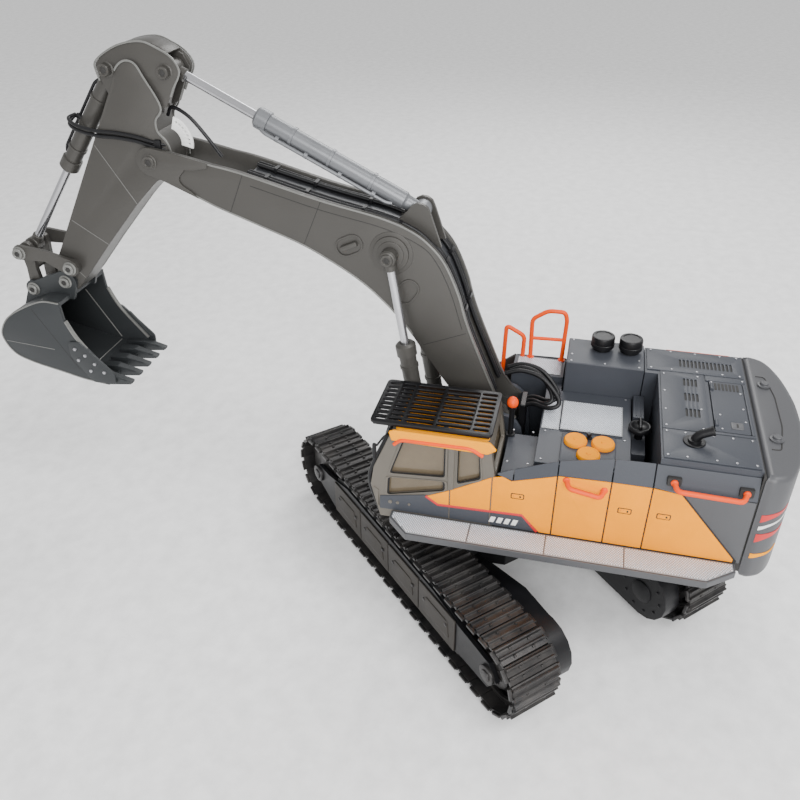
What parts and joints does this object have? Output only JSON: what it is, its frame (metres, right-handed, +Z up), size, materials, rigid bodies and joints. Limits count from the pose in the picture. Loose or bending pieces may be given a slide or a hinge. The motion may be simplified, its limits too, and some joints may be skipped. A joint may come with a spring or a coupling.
{
  "type": "radio-controlled excavator",
  "caption": "Radio-controlled crawler excavator: swinging superstructure with cab, and a boom, stick and bucket driven by cylinders.",
  "frame": {"origin": "centre of the whole machine's footprint, on the surface it stands on", "axes": "-Y is straight ahead of the cab and boom, +X is the machine's left (cab side), +Z is up; the tracks are turned 45 degrees about Z under the superstructure, which is the rest pose"},
  "size_m": [0.3652, 0.6135, 0.386],
  "materials": {
    "body_grey": "satin blue-grey moulding",
    "arm_grey": "satin dark grey paint over die cast alloy",
    "rod_chrome": "polished",
    "track_black": "black coated cast links",
    "black_plastic": "black moulding",
    "hose_rubber": "black rubber",
    "warm_grey": "satin warm grey",
    "panel_yellow": "satin orange-yellow",
    "rail_orange": "glossy orange",
    "tread_silver": "bright silver",
    "tinted_window": "brown tinted",
    "battery_wrap": "blue shrink wrap",
    "circuit_green": "green board"
  },
  "bodies": {
    "undercarriage": {"carbody": "black_plastic", "slew_ring": "tread_silver", "track_frame_left": "black_plastic", "track_frame_right": "black_plastic", "track_belt_left": "track_black", "track_belt_right": "track_black", "drive_housing_left": "black_plastic", "drive_housing_right": "black_plastic"},
    "sprocket_left_body": {"sprocket_left": "track_black"},
    "sprocket_right_body": {"sprocket_right": "track_black"},
    "idler_left_body": {"idler_left": "track_black"},
    "idler_right_body": {"idler_right": "track_black"},
    "superstructure": {"upper_frame": "body_grey", "boom_foot_pin": "rod_chrome", "side_cover_left": "panel_yellow", "side_cover_right": "body_grey", "walkway_left": "tread_silver", "walkway_right": "tread_silver", "centre_deck": "body_grey", "right_step_box": "body_grey", "right_tank_box": "body_grey", "air_precleaner_1": "black_plastic", "air_precleaner_2": "black_plastic", "filler_caps": "panel_yellow", "engine_hood": "body_grey", "exhaust_pipe": "black_plastic", "air_duct": "black_plastic", "counterweight": "warm_grey", "cab_shell": "warm_grey", "cab_glass": "tinted_window", "cab_seat": "black_plastic", "cab_guard": "black_plastic", "roof_trim": "panel_yellow", "beacon": "rail_orange", "handrail_high": "rail_orange", "handrail_low": "rail_orange", "grab_handle_front": "rail_orange", "grab_handle_rear": "rail_orange", "hood_rail": "rail_orange", "battery_pack": "battery_wrap", "control_board": "circuit_green", "swing_motor": "tread_silver", "deck_hoses": "hose_rubber"},
    "hatch": {"hood_hatch": "body_grey"},
    "boom_body": {"boom": "arm_grey", "boom_lines": "hose_rubber", "stick_pin": "rod_chrome", "stick_hose": "hose_rubber"},
    "boom_rod_left": {"boom_cylinder_rod_left": "rod_chrome"},
    "boom_barrel_left": {"boom_cylinder_barrel_left": "arm_grey"},
    "boom_rod_right": {"boom_cylinder_rod_right": "rod_chrome"},
    "boom_barrel_right": {"boom_cylinder_barrel_right": "arm_grey"},
    "stick_body": {"stick": "arm_grey"},
    "stick_barrel": {"stick_cylinder_barrel": "tread_silver"},
    "stick_rod": {"stick_cylinder_rod": "rod_chrome"},
    "bucket_body": {"bucket": "arm_grey"},
    "levers": {"rocker_levers": "arm_grey"},
    "link": {"bucket_link": "arm_grey"},
    "bucket_barrel": {"bucket_cylinder_barrel": "black_plastic"},
    "bucket_rod": {"bucket_cylinder_rod": "rod_chrome"}
  },
  "joints": [
    {"name": "drive_left", "type": "hinge", "parent": "undercarriage", "child": "sprocket_left_body", "pos_m": [0.14566, 0.13303, 0.0315], "axis": [0.7071, -0.7071, 0], "continuous": true},
    {"name": "idle_left", "type": "hinge", "parent": "undercarriage", "child": "idler_left_body", "pos_m": [-0.03041, -0.04304, 0.034], "axis": [0.7071, -0.7071, 0], "continuous": true},
    {"name": "drive_right", "type": "hinge", "parent": "undercarriage", "child": "sprocket_right_body", "pos_m": [0.03253, 0.24616, 0.0315], "axis": [0.7071, -0.7071, 0], "continuous": true},
    {"name": "idle_right", "type": "hinge", "parent": "undercarriage", "child": "idler_right_body", "pos_m": [-0.14354, 0.07009, 0.034], "axis": [0.7071, -0.7071, 0], "continuous": true},
    {"name": "swing", "type": "hinge", "parent": "undercarriage", "child": "superstructure", "pos_m": [0, 0.1005, 0.067], "axis": [0, 0, 1], "continuous": true},
    {"name": "hatch_hinge", "type": "hinge", "parent": "superstructure", "child": "hatch", "pos_m": [0.002, 0.2492, 0.1652], "axis": [1, 0, 0], "range_deg": [0, 95]},
    {"name": "boom_hinge", "type": "hinge", "parent": "superstructure", "child": "boom_body", "pos_m": [-0.012, 0.1005, 0.122], "axis": [1, 0, 0], "range_deg": [-6, 22], "deforming": ["deck_hoses"]},
    {"name": "boom_cylinder_hinge_left", "type": "hinge", "parent": "boom_body", "child": "boom_rod_left", "pos_m": [0.015, 0.0195, 0.259], "axis": [1, 0, 0], "range_deg": [-0.27, 0.99]},
    {"name": "boom_cylinder_slide_left", "type": "slide", "parent": "boom_rod_left", "child": "boom_barrel_left", "axis": [0, 0.1719, -0.9851], "range_m": [-0.02174, 0.00593]},
    {"name": "boom_cylinder_hinge_right", "type": "hinge", "parent": "boom_body", "child": "boom_rod_right", "pos_m": [-0.039, 0.0195, 0.259], "axis": [1, 0, 0], "range_deg": [-0.27, 0.99]},
    {"name": "boom_cylinder_slide_right", "type": "slide", "parent": "boom_rod_right", "child": "boom_barrel_right", "axis": [0, 0.1719, -0.9851], "range_m": [-0.02174, 0.00593]},
    {"name": "stick_hinge", "type": "hinge", "parent": "boom_body", "child": "stick_body", "pos_m": [-0.012, -0.1525, 0.311], "axis": [1, 0, 0], "range_deg": [-45, 5], "deforming": ["stick_hose"]},
    {"name": "stick_cylinder_hinge", "type": "hinge", "parent": "boom_body", "child": "stick_barrel", "pos_m": [-0.012, 0.0365, 0.284], "axis": [1, 0, 0], "range_deg": [-0.34, 3.03]},
    {"name": "stick_cylinder_slide", "type": "slide", "parent": "stick_barrel", "child": "stick_rod", "axis": [0, -0.8955, 0.4451], "range_m": [-0.04662, 0.00518]},
    {"name": "bucket_hinge", "type": "hinge", "parent": "stick_body", "child": "bucket_body", "pos_m": [-0.012, -0.2475, 0.209], "axis": [1, 0, 0], "range_deg": [-45, 30]},
    {"name": "lever_hinge", "type": "hinge", "parent": "stick_body", "child": "levers", "pos_m": [-0.012, -0.2375, 0.223], "axis": [1, 0, 0], "range_deg": [-35.21, 23.47]},
    {"name": "link_hinge", "type": "hinge", "parent": "bucket_body", "child": "link", "pos_m": [-0.012, -0.2785, 0.2], "axis": [1, 0, 0], "range_deg": [-15.94, 23.91]},
    {"name": "bucket_cylinder_hinge", "type": "hinge", "parent": "stick_body", "child": "bucket_barrel", "pos_m": [-0.012, -0.1775, 0.369], "axis": [1, 0, 0], "range_deg": [-2.48, 1.65]},
    {"name": "bucket_cylinder_slide", "type": "slide", "parent": "bucket_barrel", "child": "bucket_rod", "axis": [0, -0.5972, -0.8021], "range_m": [-0.02427, 0.01618]}
  ],
  "couplings": [
    {"joint": "idle_left", "follows": "drive_left", "ratio": 0.90119},
    {"joint": "idle_right", "follows": "drive_right", "ratio": 0.90119},
    {"joint": "boom_cylinder_hinge_left", "follows": "boom_hinge", "ratio": 0.044},
    {"joint": "boom_cylinder_slide_left", "follows": "boom_hinge", "m_per_rad": -0.0555},
    {"joint": "boom_cylinder_hinge_right", "follows": "boom_hinge", "ratio": 0.044},
    {"joint": "boom_cylinder_slide_right", "follows": "boom_hinge", "m_per_rad": -0.0555},
    {"joint": "stick_cylinder_hinge", "follows": "stick_hinge", "ratio": -0.066},
    {"joint": "stick_cylinder_slide", "follows": "stick_hinge", "m_per_rad": 0.0582},
    {"joint": "lever_hinge", "follows": "bucket_hinge", "ratio": 0.767},
    {"joint": "link_hinge", "follows": "bucket_hinge", "ratio": -0.521},
    {"joint": "bucket_cylinder_hinge", "follows": "bucket_hinge", "ratio": 0.054},
    {"joint": "bucket_cylinder_slide", "follows": "bucket_hinge", "m_per_rad": 0.0303}
  ]
}
